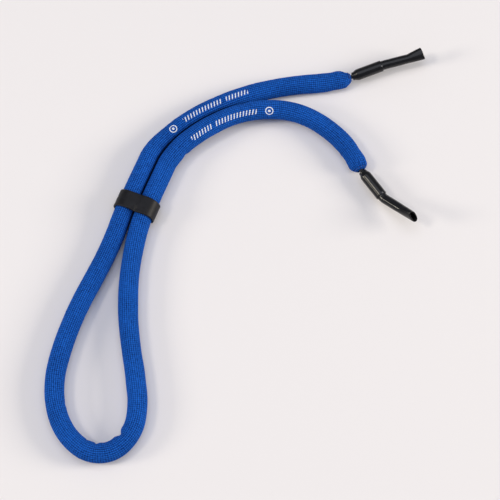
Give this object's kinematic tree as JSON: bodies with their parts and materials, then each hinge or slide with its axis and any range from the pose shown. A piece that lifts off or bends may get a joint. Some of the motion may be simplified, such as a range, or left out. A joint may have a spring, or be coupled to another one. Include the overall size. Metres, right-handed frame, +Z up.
{
  "type": "eyeglass retainer strap",
  "caption": "Padded tubular eyeglass retainer strap lying in a neck loop, with a sliding band over both strands and a rubber temple grip at each end.",
  "frame": {"origin": "on the surface the strap lies on, under the middle of the slider band", "axes": "+Z up; +Y along the two strands through the slider band, away from the neck loop; +X towards the temple grips"},
  "size_m": [0.1616, 0.2993, 0.0171],
  "materials": {
    "sleeve_knit": "knitted polyester, royal blue, fine ribs along the tube",
    "core_foam": "closed-cell foam",
    "band_rubber": "matt black moulded rubber, fine texture",
    "grip_rubber": "satin black rubber tube",
    "neck_cord": "black braided elastic cord",
    "end_thread": "blue sewing thread",
    "stem_plastic": "moulded nylon"
  },
  "bodies": {
    "strap": {"strap_cover": "sleeve_knit", "foam_core": "core_foam", "left_end_thread": "end_thread", "right_end_thread": "end_thread"},
    "slider": {"slider_band": "band_rubber"},
    "left_neck": {"left_neck_cord": "neck_cord"},
    "left_grip": {"left_grip_collar": "grip_rubber", "left_grip_stem": "stem_plastic", "left_grip_tube": "grip_rubber"},
    "right_neck": {"right_neck_cord": "neck_cord"},
    "right_grip": {"right_grip_collar": "grip_rubber", "right_grip_stem": "stem_plastic", "right_grip_tube": "grip_rubber"}
  },
  "joints": [
    {"name": "slider_travel", "type": "slide", "parent": "strap", "child": "slider", "axis": [0, 1, 0], "range_m": [-0.001, 0.025]},
    {"name": "left_neck_swing", "type": "hinge", "parent": "strap", "child": "left_neck", "pos_m": [0.08268, 0.12116, 0.0054], "axis": [0, 0, 1], "range_deg": [-25, 15]},
    {"name": "left_grip_tilt", "type": "hinge", "parent": "left_neck", "child": "left_grip", "pos_m": [0.08521, 0.12341, 0.00573], "axis": [0.6652, -0.7466, 0], "range_deg": [0, 20]},
    {"name": "right_neck_swing", "type": "hinge", "parent": "strap", "child": "right_neck", "pos_m": [0.10931, 0.06908, 0.0054], "axis": [0, 0, 1], "range_deg": [-30, 9]},
    {"name": "right_grip_tilt", "type": "hinge", "parent": "right_neck", "child": "right_grip", "pos_m": [0.11219, 0.06726, 0.0054], "axis": [-0.5344, -0.8453, 0], "range_deg": [0, 20]}
  ]
}
